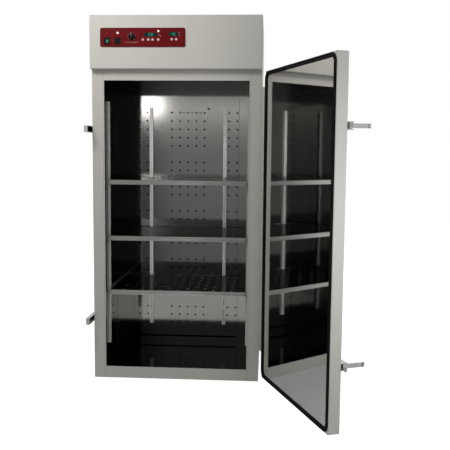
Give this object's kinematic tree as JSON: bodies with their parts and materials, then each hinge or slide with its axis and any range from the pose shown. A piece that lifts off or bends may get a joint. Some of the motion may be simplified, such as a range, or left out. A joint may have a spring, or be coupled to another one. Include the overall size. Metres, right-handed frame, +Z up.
{
  "type": "laboratory incubator",
  "caption": "Upright laboratory incubator: insulated painted steel cabinet with a control header, stainless chamber, sliding shelves and one full-height hinged door.",
  "frame": {"origin": "middle of the underside of the cabinet, on the plane that it stands on", "axes": "+X to the viewer's right, -Y out of the front, +Z up; the door is stored open 110.7 degrees"},
  "size_m": [1.4184, 1.5625, 1.9865],
  "materials": {
    "paint": "satin",
    "steel": "satin",
    "mirror_steel": "polished",
    "plated": "polished",
    "foam": "matte",
    "seal": "matte",
    "facia": "satin",
    "black_plastic": "satin",
    "pale_plastic": "satin",
    "green_plastic": "gloss",
    "display": "gloss",
    "red_lens": "gloss",
    "clear_lens": "gloss",
    "board": "satin",
    "heater_sheath": "matte",
    "motor_metal": "satin"
  },
  "bodies": {
    "cabinet": {"back_panel": "paint", "base_panel": "paint", "control_board": "board", "control_panel": "facia", "display_chamber": "display", "display_limit": "display", "duct_panel": "steel", "fan_motor": "motor_metal", "header_cover": "paint", "header_front": "paint", "header_rear": "paint", "heater": "heater_sheath", "hinge_leaf_cabinet": "paint", "insulation": "foam", "keeper_lower": "paint", "keeper_upper": "paint", "lamp_alarm": "red_lens", "lamp_power": "clear_lens", "liner_back": "steel", "liner_ceiling": "steel", "liner_floor": "steel", "liner_left": "steel", "liner_right": "steel", "power_inlet": "black_plastic", "rail_bottom": "paint", "rail_top": "paint", "side_panel_left": "paint", "side_panel_right": "paint", "stile_left": "paint", "stile_right": "paint", "temperature_probe": "plated", "top_panel": "paint", "upright_front_left": "steel", "upright_front_right": "steel", "upright_rear_left": "steel", "upright_rear_right": "steel"},
    "door": {"door_shell": "paint", "door_insulation": "foam", "door_liner": "mirror_steel", "door_gasket": "seal", "hinge_leaf_door": "paint", "latch_body_upper": "plated", "latch_body_lower": "plated"},
    "lever_upper": {"latch_lever_upper": "plated"},
    "bolt_upper": {"latch_bolt_upper": "plated"},
    "lever_lower": {"latch_lever_lower": "plated"},
    "bolt_lower": {"latch_bolt_lower": "plated"},
    "shelf_1": {"shelf_1": "steel"},
    "shelf_2": {"shelf_2": "steel"},
    "shelf_3": {"shelf_3": "steel"},
    "knob": {"control_knob": "black_plastic"},
    "rocker_power": {"rocker_power": "green_plastic"},
    "rocker_light": {"rocker_light": "black_plastic"},
    "button_1": {"button_1": "pale_plastic"},
    "button_2": {"button_2": "pale_plastic"},
    "button_3": {"button_3": "pale_plastic"},
    "button_4": {"button_4": "pale_plastic"},
    "button_5": {"button_5": "pale_plastic"},
    "button_6": {"button_6": "pale_plastic"},
    "fan": {"fan_wheel": "motor_metal"}
  },
  "joints": [
    {"name": "door_swing", "type": "hinge", "parent": "cabinet", "child": "door", "pos_m": [0.4675, -0.3593, 0], "axis": [0, 0, 1], "range_deg": [-110.7, 49.3]},
    {"name": "lever_upper_turn", "type": "hinge", "parent": "door", "child": "lever_upper", "pos_m": [0.84337, -1.13929, 1.386], "axis": [0, 0, -1], "range_deg": [-90, 0]},
    {"name": "bolt_upper_slide", "type": "slide", "parent": "door", "child": "bolt_upper", "axis": [0.3535, -0.9354, 0], "range_m": [0, 0.0161]},
    {"name": "lever_lower_turn", "type": "hinge", "parent": "door", "child": "lever_lower", "pos_m": [0.84337, -1.13929, 0.342], "axis": [0, 0, -1], "range_deg": [-90, 0]},
    {"name": "bolt_lower_slide", "type": "slide", "parent": "door", "child": "bolt_lower", "axis": [0.3535, -0.9354, 0], "range_m": [0, 0.0161]},
    {"name": "shelf_1_slide", "type": "slide", "parent": "cabinet", "child": "shelf_1", "axis": [0, -1, 0], "range_m": [0, 0.3]},
    {"name": "shelf_2_slide", "type": "slide", "parent": "cabinet", "child": "shelf_2", "axis": [0, -1, 0], "range_m": [0, 0.3]},
    {"name": "shelf_3_slide", "type": "slide", "parent": "cabinet", "child": "shelf_3", "axis": [0, -1, 0], "range_m": [0, 0.3]},
    {"name": "knob_turn", "type": "hinge", "parent": "cabinet", "child": "knob", "pos_m": [-0.2325, -0.4006, 1.8729], "axis": [0, 1, 0], "range_deg": [-135, 135]},
    {"name": "rocker_power_tilt", "type": "hinge", "parent": "cabinet", "child": "rocker_power", "pos_m": [-0.3635, -0.3975, 1.8496], "axis": [1, 0, 0], "range_deg": [-18, 0]},
    {"name": "rocker_light_tilt", "type": "hinge", "parent": "cabinet", "child": "rocker_light", "pos_m": [-0.3071, -0.3975, 1.8496], "axis": [1, 0, 0], "range_deg": [-18, 0]},
    {"name": "button_1_press", "type": "slide", "parent": "cabinet", "child": "button_1", "axis": [0, 1, 0], "range_m": [0, 0.0012], "stiffness_N_per_m": 300},
    {"name": "button_2_press", "type": "slide", "parent": "cabinet", "child": "button_2", "axis": [0, 1, 0], "range_m": [0, 0.0012], "stiffness_N_per_m": 300},
    {"name": "button_3_press", "type": "slide", "parent": "cabinet", "child": "button_3", "axis": [0, 1, 0], "range_m": [0, 0.0012], "stiffness_N_per_m": 300},
    {"name": "button_4_press", "type": "slide", "parent": "cabinet", "child": "button_4", "axis": [0, 1, 0], "range_m": [0, 0.0012], "stiffness_N_per_m": 300},
    {"name": "button_5_press", "type": "slide", "parent": "cabinet", "child": "button_5", "axis": [0, 1, 0], "range_m": [0, 0.0012], "stiffness_N_per_m": 300},
    {"name": "button_6_press", "type": "slide", "parent": "cabinet", "child": "button_6", "axis": [0, 1, 0], "range_m": [0, 0.0012], "stiffness_N_per_m": 300},
    {"name": "fan_spin", "type": "hinge", "parent": "cabinet", "child": "fan", "pos_m": [0, 0.256, 1.47], "axis": [0, 1, 0], "continuous": true}
  ],
  "couplings": [
    {"joint": "bolt_upper_slide", "follows": "lever_upper_turn", "m_per_rad": -0.010186},
    {"joint": "bolt_lower_slide", "follows": "lever_lower_turn", "m_per_rad": -0.010186}
  ]
}
